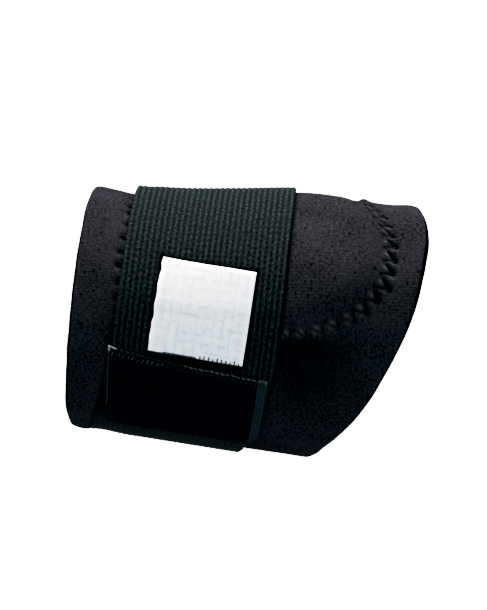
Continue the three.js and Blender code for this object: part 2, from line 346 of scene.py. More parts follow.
def makeJersey():
    # nylon jersey bonded to foam rubber: dull charcoal, mottled by brushed yarn, with a painted highlight
    # on the seam's puffs
    look = jerseyLook
    material, node, uv = newCloth("nylonJersey", Roughness=0.95, Specular_IOR_Level=0.0)
    speckle = node("TexNoise", {
        "Vector": uv, "Scale": 1 / look["speckle"], "Detail": 3, "Roughness": 0.55})
    cloud = node("TexNoise", {"Vector": uv, "Scale": 1 / look["cloud"], "Detail": 3})
    tone = node("Math", {0: cloud, 1: 0.35, 2: speckle}, operation="MULTIPLY_ADD")
    ramp = node("MapRange", {"Value": tone, 1: 0.43, 2: 0.93})
    yarn = node("Mix", {"Factor": ramp, 6: look["dark"], 7: look["light"]}, **inColour)
    # painted highlight on the seam's puffs
    puffHighlight = node("Attribute", attribute_name="puffHighlight", out="Fac")
    highlighted = node("Mix", {"Factor": puffHighlight, 6: yarn, 7: look["puffLit"]}, **inColour)
    # painted shade: dark in the seam's dents and needle holes, along the strap's edges and below the pad
    paintedShade = node("Attribute", attribute_name="paintedShade", out="Fac")
    # small dark pits where a loop of yarn has pulled in
    pits = node("TexVoronoi", {"Vector": uv, "Scale": 1 / look["pitSpacing"]}, voronoi_dimensions="2D")
    pit = node("MapRange", {"Value": pits, 1: 0.09, 2: 0.05, 4: 0.7})
    dark = node("Math", {0: paintedShade, 1: pit}, operation="MAXIMUM")
    shadeTone = node("Mix", {"Factor": dark, 6: highlighted, 7: look["shadeTone"]}, **inColour)
    # specks of pale lint, one here and there
    specks = node("TexVoronoi", {"Vector": uv, "Scale": 1 / look["lintSpacing"]})
    fleck = node("MapRange", {"Value": specks, 1: 0.022, 2: 0.014})
    colour = node("Mix", {"Factor": fleck, 6: shadeTone, 7: look["lint"]}, **inColour)
    # knitted loops, drawn about twice as coarse as the real gauge so that they show
    wale, course = (node("TexWave", {
        "Vector": uv, "Scale": math.pi / 10 / look[size], "Distortion": 1.2, "Detail Scale": 1.5},
        bands_direction=direction, out=1) for size, direction in (("wale", "X"), ("course", "Y")))
    loops = node("Math", {0: wale, 1: course}, operation="MULTIPLY")
    height = node("Math", {0: loops, 1: 0.6, 2: speckle}, operation="MULTIPLY_ADD")
    return finishCloth(material, colour, height, 0.8, look["relief"])


foamLook = {"dark": "#030304", "light": "#0b0b0c", "pore": 0.45, "relief": 0.12}


def makeFoamEdge():
    # chloroprene foam, knife cut: black and dull with fine open pores
    look = foamLook
    material, node, uv = newCloth("cutFoamRubber", Roughness=0.9, Specular_IOR_Level=0)
    pores = node("TexVoronoi", {"Vector": uv, "Scale": 1 / look["pore"]})
    colour = node("Mix", {"Factor": pores, 6: look["dark"], 7: look["light"]}, **inColour)
    return finishCloth(material, colour, pores, 0.7, look["relief"])


# one of these colours is the underside's paler tone, painted bounce light
elasticLook = {
    "pit": "#040707", "cord": "#080b0c", "crest": "#2d3b3d", "underPale": "#262c2e",
    "rib": 1.69, "dash": 1.7, "drift": 2.2, "relief": 0.22,
}
# the tape's paler edge
stripLook = dict(elasticLook, pit="#192224", cord="#1e282a", crest="#2c3b3e", rib=1.0, dash=1.1)


def makeElastic(name, look):
    # woven polyester elastic: grey-green cords side by side, dark pits where the weft dives between
    material, node, uv = newCloth(name, Roughness=0.85, Specular_IOR_Level=0.04)
    place = node("SeparateXYZ", {0: uv}, out=None)
    ribPlace = node("Math", {0: place[0], 1: look["rib"]}, operation="DIVIDE")
    half = node("Math", {0: ribPlace, 1: math.pi}, operation="MULTIPLY")
    wave = node("Math", {0: half}, operation="SINE")
    cord = node("Math", {0: wave}, operation="ABSOLUTE")  # 0 between cords
    nearest = node("Math", {0: ribPlace}, operation="ROUND")
    dashPlace = node("Math", {0: place[1], 1: look["dash"]}, operation="DIVIDE")
    gapPlace = node("CombineXYZ", {0: nearest, 1: dashPlace})
    gapMap = node("Mapping", {"Vector": gapPlace, "Scale": (3.7, 0.22, 1)})
    drift = node("TexNoise", {"Vector": gapMap, "Scale": 1, "Detail": 1})
    shifted = node("Math", {0: drift, 1: look["drift"], 2: dashPlace}, operation="MULTIPLY_ADD")
    turn = node("Math", {0: shifted, 1: 2 * math.pi}, operation="MULTIPLY")
    dash = node("Math", {0: turn}, operation="SINE")
    between = node("MapRange", {"Value": cord, 1: 0.88, 2: 0.52})
    gap = node("MapRange", {"Value": dash, 1: -0.7, 2: 0.1, 3: 0.72, 4: 1})
    rowCell = node("Math", {0: shifted}, operation="FLOOR")
    cell = node("CombineXYZ", {0: nearest, 1: rowCell})
    loop = node("TexWhiteNoise", {"Vector": cell}, noise_dimensions="2D")
    depth = node("MapRange", {"Value": loop, 3: 0.8, 4: 1})
    sunk = node("Math", {0: between, 1: gap}, operation="MULTIPLY")
    pit = node("Math", {0: sunk, 1: depth}, operation="MULTIPLY")
    # yarn shade changes in short streaks along the cords
    streaks = node("Mapping", {"Vector": uv, "Scale": (1, 0.5, 1)})
    fuzz = node("TexNoise", {"Vector": streaks, "Scale": 1.9, "Detail": 2})
    bright = node("MapRange", {"Value": fuzz, 1: 0.36, 2: 0.74})
    yarn = node("Mix", {"Factor": bright, 6: look["cord"], 7: look["crest"]}, **inColour)
    # painted shade: contact shadow round the label and beside the tab's wrist side
    paintedShade = node("Attribute", attribute_name="paintedShade", out="Fac")
    dark = node("Math", {0: pit, 1: paintedShade}, operation="MAXIMUM")
    woven = node("Mix", {"Factor": dark, 6: yarn, 7: look["pit"]}, **inColour)
    mottle = node("TexNoise", {"Vector": uv, "Scale": 1.5, "Detail": 4})
    underPale = node("MapRange", {"Value": mottle, 1: 0.4, 2: 0.68})
    bounceTone = node("Mix", {"Factor": underPale, 6: look["cord"], 7: look["underPale"]}, **inColour)
    # painted bounce light: the underside band is paler and mottled
    paintedBounceBand = node("Attribute", attribute_name="paintedBounceBand", out="Fac")
    colour = node("Mix", {"Factor": paintedBounceBand, 6: woven, 7: bounceTone}, **inColour)
    weft = node("Math", {0: dash, 1: -0.15, 2: fuzz}, operation="MULTIPLY_ADD")
    ribbed = node("Math", {0: pit, 1: weft}, operation="SUBTRACT")
    calm = node("MapRange", {"Value": paintedBounceBand, 3: 1, 4: 0.15})
    height = node("Math", {0: ribbed, 1: calm}, operation="MULTIPLY")
    return finishCloth(material, colour, height, 0.8, look["relief"], invert=True)


pileLook = {"dark": "#0c0e11", "light": "#17191d", "loop": 0.7, "relief": 0.35}


def makePile():
    # brushed nylon pile: near black, soaks up light, tiny loops lying every way
    look = pileLook
    material, node, uv = newCloth("blackLoopPile", Roughness=1, Specular_IOR_Level=0.03)
    loops = node("TexNoise", {"Vector": uv, "Scale": 1 / look["loop"], "Detail": 4, "Distortion": 1.5})
    shade = node("MapRange", {"Value": loops, 1: 0.4, 2: 0.72})
    colour = node("Mix", {"Factor": shade, 6: look["dark"], 7: look["light"]}, **inColour)
    return finishCloth(material, colour, loops, 1, look["relief"])


tapeLook = {"dark": "#050607", "light": "#12171a", "thread": 0.8, "relief": 0.1}


def makeTape():
    # plain woven nylon tape, dyed black: flat and dull, with a fine square weave
    look = tapeLook
    material, node, uv = newCloth("blackWovenTape", Roughness=0.9, Specular_IOR_Level=0.05)
    weave = node("TexChecker", {"Vector": uv, "Scale": 1 / look["thread"]}, out=1)
    fuzz = node("TexNoise", {"Vector": uv, "Scale": 1.1, "Detail": 3})
    tone = node("Math", {0: weave, 1: 0.35, 2: fuzz}, operation="MULTIPLY_ADD")
    shade = node("MapRange", {"Value": tone, 1: 0.4, 2: 1.0})
    colour = node("Mix", {"Factor": shade, 6: look["dark"], 7: look["light"]}, **inColour)
    return finishCloth(material, colour, tone, 0.7, look["relief"])


labelLook = {
    "ground": "#c9c7ca", "float": "#f6f3f5", "selvedge": "#fffdfb", "thread": 0.42, "grid": 2.6,
    "relief": 0.08,
}


def makeLabelWeave():
    # woven polyester ribbon: white and slightly silky, fine threads, a faint wider grid, paler folds
    look = labelLook
    material, node, uv = newCloth("whiteWovenRibbon", Roughness=0.7, Specular_IOR_Level=0.25)
    waves = []
    for size, warped in ((look["thread"], 0.6), (look["grid"], 1.5)):
        for direction in "XY":
            waves.append(node("TexWave", {
                "Vector": uv, "Scale": math.pi / 10 / size, "Distortion": warped, "Detail Scale": 1},
                bands_direction=direction, out=1))
    fine = node("Math", {0: waves[0], 1: waves[1]}, operation="MULTIPLY")
    lines = []
    for wave, shift in zip(waves[2:], (0, 40)):
        thin = node("Math", {0: wave, 1: 5}, operation="POWER")
        apart = node("Mapping", {"Vector": uv, "Location": (shift, shift, 0)})
        patches = node("TexNoise", {"Vector": apart, "Scale": 0.4, "Detail": 1})
        broken = node("MapRange", {"Value": patches, 1: 0.43, 2: 0.57})
        lines.append(node("Math", {0: thin, 1: broken}, operation="MULTIPLY"))
    wide = node("Math", {0: lines[0], 1: lines[1]}, operation="MAXIMUM")
    cloud = node("TexNoise", {"Vector": uv, "Scale": 0.35, "Detail": 3})
    grain = node("Math", {0: fine, 1: 0.45, 2: cloud}, operation="MULTIPLY_ADD")
    tone = node("Math", {0: wide, 1: -0.46, 2: grain}, operation="MULTIPLY_ADD")
    pale = node("MapRange", {"Value": tone, 1: 0.05, 2: 0.75})
    body = node("Mix", {"Factor": pale, 6: look["ground"], 7: look["float"]}, **inColour)
    edge = node("Attribute", attribute_name="selvedge", out="Fac")
    colour = node("Mix", {"Factor": edge, 6: body, 7: look["selvedge"]}, **inColour)
    return finishCloth(material, colour, grain, 0.6, look["relief"])


def makeThread(name, darkCode, lightCode, gleam):
    # bonded polyester sewing thread: smooth with a soft gleam and a fine twist
    material, node, uv = newCloth(name, Roughness=0.6, Specular_IOR_Level=gleam)
    shade = node("Attribute", attribute_name="shade", out="Fac")
    twist = node("TexWave", {"Vector": uv, "Scale": 0.5, "Distortion": 0.5},
                 bands_direction="DIAGONAL", out=1)
    gleamLine = node("MapRange", {"Value": twist, 3: 0.5, 4: 1.5})
    tone = node("Math", {0: gleamLine, 1: shade}, operation="MULTIPLY")
    colour = node("Mix", {"Factor": tone, 6: darkCode, 7: lightCode}, **inColour)
    return finishCloth(material, colour, twist, 0.5, 0.1)


jersey = makeJersey()
foamEdge = makeFoamEdge()
elastic = makeElastic("ribbedElastic", elasticLook)
strip = makeElastic("paleElasticEdge", stripLook)
pile = makePile()
tape = makeTape()
labelWeave = makeLabelWeave()
blackThread = makeThread("blackThread", "#010101", "#1d1d1f", 0.05)
greyThread = makeThread("greyThread", "#040506", "#a4a9ac", 0.05)
print("materials made")

# the zigzag that sews the pad in, worked out first because the sleeve is dented along it
# some of these strengths set painted shade along the seam
seam = {"pitch": 4.9, "reach": 1.75, "thread": 0.2, "sink": 0.55, "dent": 1.0, "jitter": 0.3, "tuck": 0.9,
        "inwards": 0.4, "lean": 0.68, "leanChange": 0.4, "leanLeast": 0.36,
        "outWidth": 0.3, "outSpread": 0.75, "backWidth": 0.3, "backDentShade": 0.85, "lowShade": 0.3,
        "puffLength": 1.25, "puffWidth": 0.55, "outerPuff": 0.85, "hole": 0.6, "holeDepth": 1.2,
        "seamSideShadeStrength": 0.35}


def padRing(turn, ring):  # x and angle on a ring of the pad's outline, 1 being the outline itself
    cos, sin = np.cos(turn), np.sin(turn)
    fullness = np.where(cos > 0, padForm["elbowFullness"], padForm["wristFullness"])
    reach = np.where(cos > 0, padForm["elbowReach"], padForm["wristReach"])
    distance = ring / (np.abs(cos) ** fullness + np.abs(sin) ** fullness) ** (1 / fullness)
    upward = distance * sin
    x = padForm["x"] + distance * cos * reach * (1 - padForm["taper"] * upward)
    return x, padForm["angle"] + upward * padForm["arc"] / 2


def seamCorners():
    turns = np.linspace(math.pi / 2, -1.5 * math.pi, 2400)  # clockwise from the top
    line = onSleeve(*padRing(turns, 1), 0)
    run = np.concatenate([[0], np.cumsum(np.linalg.norm(np.diff(line, axis=0), axis=1))]) / mm
    count = round(run[-1] / seam["pitch"])
    pitch = run[-1] / count
    scatter = np.random.default_rng(7)
    ringStep = seam["reach"] / padForm["elbowReach"]
    corners = []
    for stitch in range(count):
        turn = np.interp(stitch * pitch, run, turns)
        # strokes lie flatter at the top
        lean = max(seam["leanLeast"], seam["lean"] + seam["leanChange"] * math.sin(turn))
        # the wrist side is partly under the strap
        tuck = ringStep * seam["tuck"] * smoothStep(-math.cos(turn), 0.3, 0.7)
        tuck += seam["inwards"] / padForm["elbowReach"]
        for ring, lag in ((1 - ringStep - tuck, 0), (1 + ringStep - tuck, lean)):
            place = ((stitch + lag) * pitch + scatter.normal(0, seam["jitter"])) % run[-1]
            x, angle = padRing(np.interp(place, run, turns), ring + scatter.normal(0, 0.006))
            corners.append((float(x), float(angle)))
    return corners + corners[:1]


def seamPaths(corners, sink, steps=9):
    paths = []
    t = np.linspace(0, 1, steps)
    for (x0, angle0), (x1, angle1) in zip(corners, corners[1:]):
        # deeper where the needle went in
        lift = -sink * (1.6 - 0.6 * np.minimum(1, 2.2 * np.sin(math.pi * t)))
        paths.append(onSleeve(x0 + (x1 - x0) * t, angle0 + (angle1 - angle0) * t, lift))
    return paths


def seamPuffs(corners):  # middle, direction and strength of the puffs between the stitches
    inner = np.array([onSleeve(x, angle, 0) for x, angle in corners[0::2]])
    outer = np.array([onSleeve(x, angle, 0) for x, angle in corners[1::2]])
    puffs = []
    innerSide = (inner[:-1] + inner[1:]) / 2
    outerSide = outer[:-1] * 0.65 + outer[1:] * 0.35
    sides = ((innerSide, outer, 0.35, 1), (outerSide, inner[1:-1], 0.3, seam["outerPuff"]))
    for base, tip, share, force in sides:
        for a, b in zip(base, tip):
            puffs.append((a + (b - a) * share, (b - a) / np.linalg.norm(b - a), force))
    return puffs


corners = seamCorners()
# the same thread is drawn lighter on the return strokes: a painted highlight where they face up
padSeam = threadTubes("pad_seam", seamPaths(corners, seam["sink"]), seam["thread"], blackThread,
                      [0, 0.5] * (len(corners) // 2))
print("pad seam sewn with", len(corners) - 1, "stitches")

# sleeve: jersey on both faces of foam rubber, knife-cut rims
# two of these strengths set painted shade: beside the strap's edges and below the pad
sleeveLook = {
    "wall": 3.2, "innerRows": 30, "cutRows": 8, "wristBevel": 0.85, "elbowBevel": 1.1,
    "cutWaver": 0.15, "edgeRound": 0.25, "pillow": 0.5, "ripple": 0.18, "bulge": 1.2,
    "strapEdgeShade": 0.8, "belowPadShadeStrength": 0.6,
}
# the seam gathers the cloth where it goes over the top: a dip, then a small ridge
gathers = ({"x": 34.8, "rise": -0.45, "width": 1.7}, {"x": 38.4, "rise": 0.75, "width": 1.5})
gatherAngle, gatherSpread = 88, 9
# strap: its width decides where the sleeve is squeezed
# two of these strengths set painted light: bounce on the underside and shade beside the tab
strapLook = {
    "width": 49, "thickness": 1.5, "ribs": 29, "ribHeight": 0.24, "perRib": 6, "rows": 330, "ends": 6,
    "overlap": 8, "edgeWaver": 0.2, "sewnDip": 0.55, "necking": 0.06, "neckSpread": 32, "edgeSink": 0.6,
    "paintedBounceBand": 0.75, "tabSideShade": 0.8,
}


def strapNarrowing(angle):  # drawn in on the underside, where it is pulled tightest
    return 1 - strapLook["necking"] * np.exp(-((angle + 90) / strapLook["neckSpread"]) ** 2)


def nearestStitch(points, near, paths):  # distance to the closest stitch, and how far along it that is
    tree = kdtree.KDTree(sum(len(path) for path in paths))
    for index, point in enumerate(np.concatenate(paths)):
        tree.insert(point, index)
    tree.balance()
    found = [tree.find(point)[1:] for point in points[near]]
    distance, share = np.full(points.shape[:-1], 99.0), np.zeros(points.shape[:-1])
    distance[near] = [gap / mm for _, gap in found]
    share[near] = [index % len(paths[0]) / len(paths[0]) for index, _ in found]
    return distance, share


def puffHeight(points, near, puffs):
    tree = kdtree.KDTree(len(puffs))
    for index, (middle, _, _) in enumerate(puffs):
        tree.insert(middle, index)
    tree.balance()
    height = np.zeros(points.shape[:-1])
    closest = [tree.find(point)[1] for point in points[near]]
    middles, axes, forces = (np.array([puffs[k][part] for k in closest]) for part in range(3))
    offset = (points[near] - middles) / mm
    forward = np.sum(offset * axes, axis=-1)
    sideways = np.sum(offset ** 2, axis=-1) - forward ** 2
    spread = (forward / seam["puffLength"]) ** 2 + sideways / seam["puffWidth"] ** 2
    height[near] = np.exp(-spread / forces ** 2) * forces
    return height


def makeSleeve():
    look = sleeveLook
    # finer columns on the near side and finer rows round the pad's elbow end, where the seam shows
    angles = np.concatenate([
        np.linspace(-12, 118, 236, endpoint=False), np.linspace(118, 348, 150, endpoint=False)])
    shares = np.concatenate([
        np.linspace(0, 0.03, 6), np.linspace(0.03, 0.58, 54)[1:],
        np.linspace(0.58, 0.96, 90)[1:], np.linspace(0.96, 1, 8)[1:]])
    waver = look["cutWaver"] * wobble(lifted(0, angles, 0), 6, 3)
    wrist = along(rims, "wrist", angles, 360) + waver
    elbow = along(rims, "elbow", angles, 360) + waver
    length = elbow - wrist - look["wristBevel"] - look["elbowBevel"]
    outerX = wrist + look["wristBevel"] + np.outer(shares, length)
    outerAngle = np.broadcast_to(angles, outerX.shape)
    plain = onSleeve(outerX, outerAngle, 0)
    # dents along the stitches, pillows of cloth between them; painted shade darkens the dents
    share = padShare(outerX, outerAngle)
    offSeam = share * padForm["elbowReach"]
    near = np.abs(offSeam) < 6
    outFrom, outAlong = nearestStitch(plain, near, densePaths[0::2])
    backFrom, _ = nearestStitch(plain, near, densePaths[1::2])
    uneven = 1 + 0.35 * wobble(plain, 1.6, 8)
    # in the shade below the pad
    low = smoothStep(-padUpward(outerAngle), 0.6, 0.9) * smoothStep(outerX, -20, 0)
    outWidth = (seam["outWidth"] + seam["outSpread"] * outAlong * (1 - 0.7 * low)) * uneven
    outForce = np.maximum(smoothStep(outAlong, 0.15, 0.45), smoothStep(-outAlong, -0.15, -0.03))
    # painted shade in the strokes' dents, weaker below the pad
    outShade = np.exp(-(outFrom / outWidth) ** 4) * (0.25 + 0.75 * outForce)
    backDentShade = np.exp(-(backFrom / (seam["backWidth"] * uneven)) ** 2)
    paintedShade = np.maximum(outShade, seam["backDentShade"] * backDentShade) * (1 - (1 - seam["lowShade"]) * low)
    dent = np.maximum(np.exp(-(outFrom / (outWidth * 1.15)) ** 2) * (0.2 + 0.8 * outForce), 0.6 * backDentShade)
    dent *= 1 - 0.5 * low
    # needle holes stay open where the cloth is pulled over the top: dented, and darkened with painted shade
    holes = np.zeros(outerX.shape)
    for x, angle in corners:
        tall = seam["hole"] / max(0.3, math.cos(math.radians(angle)))  # drawn out round the arm
        off = ((outerX - x) / seam["hole"]) ** 2 + ((outerAngle - angle) * mmPerDegree / tall) ** 2
        holes = np.maximum(holes, np.exp(-(off / uneven) ** 2) * smoothStep(padUpward(angle), -0.1, 0.15))
    holes *= smoothStep(outerX, 20, 30)
    seamSideShade = seam["seamSideShadeStrength"] * np.exp(-(offSeam / 3.5) ** 2)  # painted shade beside the seam's upper stretch
    seamSideShade *= smoothStep(padUpward(outerAngle), 0.15, 0.5) * smoothStep(outerX, 20, 30)
    paintedShade = np.maximum(paintedShade, np.maximum(holes, seamSideShade))
    dent = np.maximum(dent, seam["holeDepth"] * holes)
    pillow = puffHeight(plain, near, seamPuffs(corners)) * smoothStep(outerX, -20, 10)
    pillow *= 1 + 0.4 * wobble(plain, 2.5, 9)
    strapX = along(strapPath, "x", outerAngle, 360)
    strapEdge = np.abs(outerX - strapX) - strapLook["width"] / 2
    underStrap = np.abs(outerX - strapX) < strapLook["width"] / 2 + 0.3
    pillow[underStrap] = 0
    relief = look["pillow"] * pillow - seam["dent"] * dent + look["ripple"] * np.where(
        underStrap, 0, wobble(plain, 11, 1) + 0.5 * wobble(plain, 4, 2))
    for gather in gathers:
        off = ((outerX - gather["x"]) / gather["width"]) ** 2
        off = off + ((outerAngle - gatherAngle) / gatherSpread) ** 2
        relief += gather["rise"] * np.exp(-off)
    # squeezed out beside the tight strap on the underside
    down = 180 - (outerAngle + 180) % 360
    beside = strapX - strapLook["width"] / 2 * strapNarrowing(-down) - outerX
    bulge = smoothStep(-beside, -6.5, -1.5) * smoothStep(beside, -0.4, 0.2)
    relief += look["bulge"] * bulge * np.clip(np.cos(np.radians(down - 90)), 0, 1) ** 2
    rimDistance = np.minimum(outerX - outerX[0], outerX[-1] - outerX)
    relief -= look["edgeRound"] * np.exp(-(rimDistance / 0.5) ** 2)
    # painted highlight on the tops of the seam's puffs
    puffHighlight = np.clip(1.1 * pillow - 0.05, 0, 1)
    # painted contact shadow beside the strap's edges, fading round the underside
    strapEdgeShade = look["strapEdgeShade"] * np.exp(-((strapEdge - 0.2) / 0.5) ** 2)
    strapEdgeShade *= smoothStep(np.cos(np.radians(outerAngle - 50)), -0.2, 0.3)
    paintedShade = np.maximum(paintedShade, strapEdgeShade)  # painted contact shadow along the strap's edges
    # painted shade in a band below the pad's lower edge
    belowPadShade = smoothStep(down, -2, 6) * (1 - smoothStep(down, 18, 48)) * smoothStep(-share, 0, 0.06)
    belowPadShade *= smoothStep(outerX, 4, 14) * (1 - smoothStep(outerX, 22, 44))
    paintedShade = np.maximum(paintedShade, look["belowPadShadeStrength"] * belowPadShade)  # painted shade below the pad's overhang
    rows = [onSleeve(outerX, outerAngle, relief)]
    # cut faces slant so that the black foam shows at the rim, then the inner face comes back
    cut = np.linspace(0, 1, look["cutRows"] + 2)[1:-1, None]
    elbowCut = elbow - look["elbowBevel"] * (1 - cut) ** 1.6
    wristCut = wrist + look["wristBevel"] * cut ** 1.6
    innerX = elbow + np.outer(np.linspace(0, 1, look["innerRows"]), wrist - elbow)
    rows.append(onSleeve(elbowCut, angles, -look["edgeRound"] - cut * (look["wall"] - look["edgeRound"])))
    rows.append(onSleeve(innerX, angles, -look["wall"]))
    rows.append(onSleeve(wristCut, angles, -look["wall"] + cut * (look["wall"] - look["edgeRound"])))
    grid = np.concatenate(rows)
    puffHighlightGrid, shadeGrid = np.zeros((2, *grid.shape[:2]))
    puffHighlightGrid[:len(outerX)] = puffHighlight
    shadeGrid[:len(outerX)] = paintedShade
    # cloth map in millimetres: round the arm, then along it
    placeRound = np.append(angles, angles[0] + 360) * mmPerDegree
    placeAlong = np.concatenate([outerX, elbowCut, innerX + 300, wristCut + 600])
    placeAlong = np.concatenate([placeAlong, placeAlong[:1] + 601])
    placeAlong = np.concatenate([placeAlong, placeAlong[:, :1]], axis=1)
    uvGrid = np.stack([np.broadcast_to(placeRound, placeAlong.shape), placeAlong], axis=-1)
    outerRows, innerStart = len(outerX), len(outerX) + look["cutRows"]
    innerEnd = innerStart + look["innerRows"]

    def slotOf(row, column):
        return ((row >= outerRows - 1) & (row < innerStart) | (row >= innerEnd - 1)).astype(int)

    return loopSheet("sleeve_cloth", grid, uvGrid, [jersey, foamEdge], slotOf, True,
                     {"puffHighlight": puffHighlightGrid, "paintedShade": shadeGrid})


densePaths = seamPaths(corners, 0, 40)
sleeve = makeSleeve()
print("sleeve made with", len(sleeve.data.polygons), "faces")


def tabAngle(edge, across):
    wristEnd, elbowEnd = tabEdges["wrist"][edge], tabEdges["elbow"][edge]
    return wristEnd + (elbowEnd - wristEnd) * (across + 0.5)


def onTab(across, share, lift):  # across from -0.5 to 0.5, share from 0 at the top edge to 1 at the bottom
    bottom = tabAngle("bottom", across) + tabLook["cornerRise"] * smoothStep(across, 0.4, 0.5) ** 2
    angle = tabAngle("top", across) + (bottom - tabAngle("top", across)) * share
    wristX, elbowX = (side["topX"] + (side["bottomX"] - side["topX"]) * share for side in tabEdges.values())
    return overPad(wristX + (elbowX - wristX) * (across + 0.5), angle, lift)


def labelTilt(up):
    share = np.clip(0.5 - up / labelForm["height"], 0, 1)
    return np.radians(labelForm["topTilt"] + (labelForm["bottomTilt"] - labelForm["topTilt"]) * share)


def labelPlace(x, angle):  # right and up on the label, in millimetres from its middle
    side = math.radians(labelForm["sideTilt"])
    aside, rise = x - labelForm["x"], (angle - labelForm["angle"]) * mmPerDegree
    edge = labelTilt(rise)
    spread = np.cos(edge) * math.cos(side) + np.sin(edge) * math.sin(side)
    right = (aside * math.cos(side) - rise * math.sin(side)) / spread
    up = (aside * np.sin(edge) + rise * np.cos(edge)) / spread
    return right, up


def onLabel(right, up, lift):
    side, edge = math.radians(labelForm["sideTilt"]), labelTilt(up)
    x = labelForm["x"] + right * np.cos(edge) + up * math.sin(side)
    angle = labelForm["angle"] + (up * math.cos(side) - right * np.sin(edge)) / mmPerDegree
    return overPad(x, angle, 2 * seatGap + strapLook["thickness"] + lift)


def makeStrap():
    look = strapLook
    outside = np.linspace(-0.5, 0.5, look["ribs"] * look["perRib"] + 1)
    inside = np.linspace(0.5, -0.5, 30)
    across = np.concatenate([outside, inside])
    cords = np.abs(np.sin(math.pi * (outside + 0.5) * look["ribs"])) ** 0.7
    edge = np.minimum(1, (0.5 - np.abs(outside)) * look["width"] / 0.5)
    under = np.where(np.abs(inside) > 0.499, seatGap + 0.35, seatGap)
    share = np.linspace(0, 1, look["rows"])[:, None]
    start = tabAngle("top", across) - look["overlap"] - look["ends"]
    angle = start - (360 - look["ends"]) * share
    # painted bounce light: the underside, which faces the floor, is painted paler, and its ribs are flatter
    # there
    paintedBounceBand = look["paintedBounceBand"] * smoothStep(-angle, 54, 64) * smoothStep(angle, -140, -100)
    grooves = look["ribHeight"] * (1 - cords) * (1 - 0.8 * paintedBounceBand[:, :len(outside)])
    top = seatGap + look["thickness"] - 0.6 * (1 - np.sqrt(edge)) - grooves
    drawnIn = np.exp(-((angle[:, :len(outside)] + 90) / 30) ** 2) * smoothStep(-outside, 0.25, 0.5)
    top = top - look["edgeSink"] * drawnIn  # the wrist edge bites into the sleeve below
    centre = along(strapPath, "x", angle, 360)
    waver = look["edgeWaver"] * wobble(onSleeve(centre, angle, 0), 9, 5) * np.abs(across) * 2
    x = centre + across * look["width"] * strapNarrowing(angle) + waver
    lift = np.concatenate([top, np.broadcast_to(under, (look["rows"], len(inside)))], axis=1)
    # sewn down around the label
    turned = (angle + 180) % 360 - 180
    right, up = labelPlace(x, turned)
    border = np.maximum(np.abs(right) - labelForm["width"] / 2, np.abs(up) - labelForm["height"] / 2)
    lift[:, :len(outside)] -= look["sewnDip"] * np.exp(-((border[:, :len(outside)] - 0.3) / 0.7) ** 2)
    hidden = 0.45 * smoothStep(up, 8, 14)  # the label's own thickness covers this much above its top edge
    # painted contact shadow round the label's edges, on the elastic
    paintedShade = 1 - smoothStep(border - hidden, 0.5, 1.3)
    # painted shade beside the tab's wrist side
    besideTabShade = smoothStep(-turned, 16, 24) * (1 - smoothStep(-turned, 64, 76))
    besideTabShade = smoothStep(-across, 0.4, 0.46) * besideTabShade
    paintedShade = np.maximum(paintedShade, look["tabSideShade"] * besideTabShade)  # painted shade along the tab's wrist side
    grid = overPad(x, angle, lift)
    uv = np.stack([(across + 0.5) * look["width"] + 0 * angle, angle * mmPerDegree], axis=-1)
    uv = np.concatenate([uv, uv[:, :1]], axis=1)
    return loopSheet("strap_elastic", grid, uv, [elastic], attributes={"paintedShade": paintedShade, "paintedBounceBand": paintedBounceBand})


strap = makeStrap()
print("strap woven with", len(strap.data.polygons), "faces")

tabLook = {
    "width": 47.2, "height": 29.5, "tape": 1.0, "pile": 0.6, "wristMargin": 2.4, "elbowMargin": 3.1,
    "topMargin": 2.6, "bottomMargin": 1, "ramp": 0.7, "columns": 110, "rows": 90, "tuft": 0.16,
    "cornerRise": 5,
}


def makeTab():
    look = tabLook
    width, height = look["width"], look["height"]
    outside = np.linspace(-0.5, 0.5, look["columns"])
    across = np.concatenate([outside, outside[::-1]])
    share = np.linspace(0, 1, look["rows"])[:, None]
    fromWrist, fromElbow = (across + 0.5) * width, (0.5 - across) * width
    fromTop, fromBottom = share * height, (1 - share) * height
    field = 1
    insets = {"wrist": fromWrist, "elbow": fromElbow, "top": fromTop, "bottom": fromBottom}
    for side, inset in insets.items():
        margin = look[side + "Margin"]
        field = field * smoothStep(inset, margin, margin + look["ramp"])
    underside = 2 * seatGap + strapLook["thickness"]
    border = np.minimum(np.minimum(fromWrist, fromElbow), np.minimum(fromTop, fromBottom))
    flat = onTab(across, share, underside)
    tufts = look["tuft"] * (wobble(flat, 1.1, 11) + 0.6 * wobble(flat, 3, 12))
    top = underside + look["tape"] - 0.5 * np.exp(-(border / 0.35) ** 2) + field * (look["pile"] + tufts)
    lift = np.where(np.arange(len(across)) < len(outside), top, underside)
    grid = onTab(across, share, lift)
    uv = np.stack([fromWrist + 0 * share, fromBottom + 0 * across], axis=-1)
    uv = np.concatenate([uv, uv[:, :1]], axis=1)

    def slotOf(row, column):
        bare = np.broadcast_to(fromElbow, field.shape)[row, column] < look["elbowMargin"] + 0.3
        piled = np.where(field[row, column] > 0.3, 1, 2)
        return np.where(column >= len(outside), 2, np.where(bare, 0, piled))

    return loopSheet("tab_tape", grid, uv, [strip, pile, tape], slotOf)


tab = makeTab()
print("tab laid with", len(tab.data.polygons), "faces")

ribbonLook = {"thickness": 0.7, "columns": 60, "rows": 60, "curl": 0.9, "ripple": 0.12, "selvedge": 1.3,
              "waver": 0.4}


